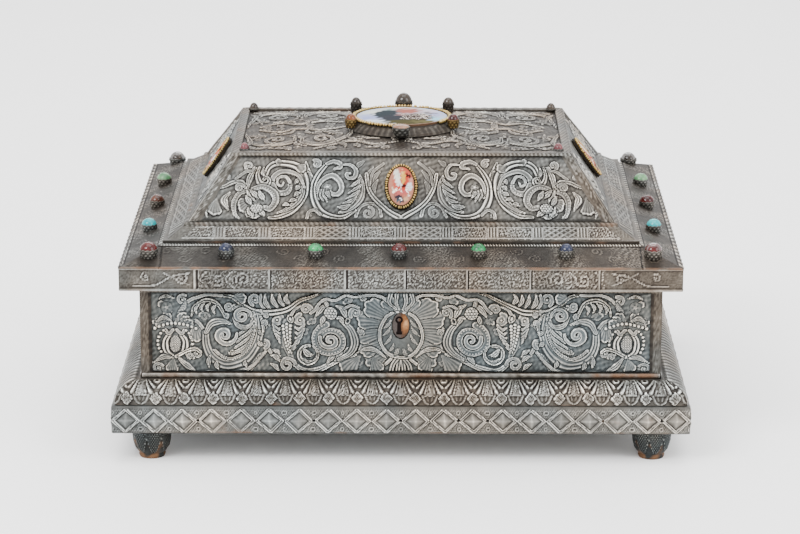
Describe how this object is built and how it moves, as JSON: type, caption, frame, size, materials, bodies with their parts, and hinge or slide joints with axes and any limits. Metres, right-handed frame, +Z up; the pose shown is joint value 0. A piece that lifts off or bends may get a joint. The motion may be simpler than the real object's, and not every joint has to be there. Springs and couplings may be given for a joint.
{
  "type": "reliquary casket",
  "caption": "Rectangular casket on ball feet, clad in embossed silver scrollwork, with a hipped lift-off lid, coloured stones in collets and enamel medallions",
  "frame": {"origin": "Middle of the overall box, on the floor under the feet", "axes": "+X to the casket's right as seen from the front, +Y to the back, +Z up; the front with the keyhole faces -Y"},
  "size_m": [0.3, 0.2266, 0.1637],
  "materials": {
    "back_sheet": "embossed silver with slate patina",
    "foot_back_left": "worn copper",
    "foot_back_right": "worn copper",
    "foot_front_left": "worn copper",
    "foot_front_right": "worn copper",
    "front_enamel": "painted enamel",
    "front_mount": "gilt silver, worn",
    "front_sheet": "embossed silver with slate patina",
    "leaf_moulding": "aged embossed silver",
    "left_enamel": "painted enamel",
    "left_mount": "gilt silver, worn",
    "left_sheet": "embossed silver with slate patina",
    "lid_back_sheet": "embossed silver with slate patina",
    "lid_front_sheet": "embossed silver with slate patina",
    "lid_left_sheet": "embossed silver with slate patina",
    "lid_moulding": "aged embossed silver",
    "lid_right_sheet": "embossed silver with slate patina",
    "lid_shell": "aged embossed silver",
    "lock_plate": "worn copper",
    "plinth_board": "aged embossed silver",
    "right_enamel": "painted enamel",
    "right_mount": "gilt silver, worn",
    "right_sheet": "embossed silver with slate patina",
    "rim_board": "aged embossed silver",
    "stone_back_1": "polished dark blue stone",
    "stone_back_2": "polished green stone",
    "stone_back_3": "polished dark red stone",
    "stone_back_4": "polished green stone",
    "stone_back_5": "polished dark blue stone",
    "stone_back_left": "polished smoky stone",
    "stone_back_right": "polished smoky stone",
    "stone_front_1": "polished dark blue stone",
    "stone_front_2": "polished green stone",
    "stone_front_3": "polished dark red stone",
    "stone_front_4": "polished green stone",
    "stone_front_5": "polished dark blue stone",
    "stone_front_left": "polished dark red stone",
    "stone_front_right": "polished dark red stone",
    "stone_left_1": "polished turquoise",
    "stone_left_2": "polished dark red stone",
    "stone_left_3": "polished green stone",
    "stone_right_1": "polished turquoise",
    "stone_right_2": "polished dark red stone",
    "stone_right_3": "polished green stone",
    "stone_top_back": "polished smoky stone",
    "stone_top_back_left": "polished smoky stone",
    "stone_top_back_right": "polished smoky stone",
    "stone_top_front": "polished pale brown stone",
    "stone_top_left": "polished pale brown stone",
    "stone_top_right": "polished dark red stone",
    "stud_back_left": "aged embossed silver",
    "stud_back_right": "aged embossed silver",
    "stud_front_left": "polished pale brown stone",
    "stud_front_right": "polished pale brown stone",
    "top_enamel": "painted enamel",
    "top_mount": "gilt silver, worn",
    "top_sheet": "embossed silver with slate patina",
    "walls": "aged embossed silver"
  },
  "bodies": {
    "root": {"back_sheet": "back_sheet", "foot_back_left": "foot_back_left", "foot_back_right": "foot_back_right", "foot_front_left": "foot_front_left", "foot_front_right": "foot_front_right", "front_enamel": "front_enamel", "front_mount": "front_mount", "front_sheet": "front_sheet", "leaf_moulding": "leaf_moulding", "left_enamel": "left_enamel", "left_mount": "left_mount", "left_sheet": "left_sheet", "lid_back_sheet": "lid_back_sheet", "lid_front_sheet": "lid_front_sheet", "lid_left_sheet": "lid_left_sheet", "lid_moulding": "lid_moulding", "lid_right_sheet": "lid_right_sheet", "lid_shell": "lid_shell", "lock_plate": "lock_plate", "plinth_board": "plinth_board", "right_enamel": "right_enamel", "right_mount": "right_mount", "right_sheet": "right_sheet", "rim_board": "rim_board", "stone_back_1": "stone_back_1", "stone_back_2": "stone_back_2", "stone_back_3": "stone_back_3", "stone_back_4": "stone_back_4", "stone_back_5": "stone_back_5", "stone_back_left": "stone_back_left", "stone_back_right": "stone_back_right", "stone_front_1": "stone_front_1", "stone_front_2": "stone_front_2", "stone_front_3": "stone_front_3", "stone_front_4": "stone_front_4", "stone_front_5": "stone_front_5", "stone_front_left": "stone_front_left", "stone_front_right": "stone_front_right", "stone_left_1": "stone_left_1", "stone_left_2": "stone_left_2", "stone_left_3": "stone_left_3", "stone_right_1": "stone_right_1", "stone_right_2": "stone_right_2", "stone_right_3": "stone_right_3", "stone_top_back": "stone_top_back", "stone_top_back_left": "stone_top_back_left", "stone_top_back_right": "stone_top_back_right", "stone_top_front": "stone_top_front", "stone_top_left": "stone_top_left", "stone_top_right": "stone_top_right", "stud_back_left": "stud_back_left", "stud_back_right": "stud_back_right", "stud_front_left": "stud_front_left", "stud_front_right": "stud_front_right", "top_enamel": "top_enamel", "top_mount": "top_mount", "top_sheet": "top_sheet", "walls": "walls"}
  },
  "joints": []
}
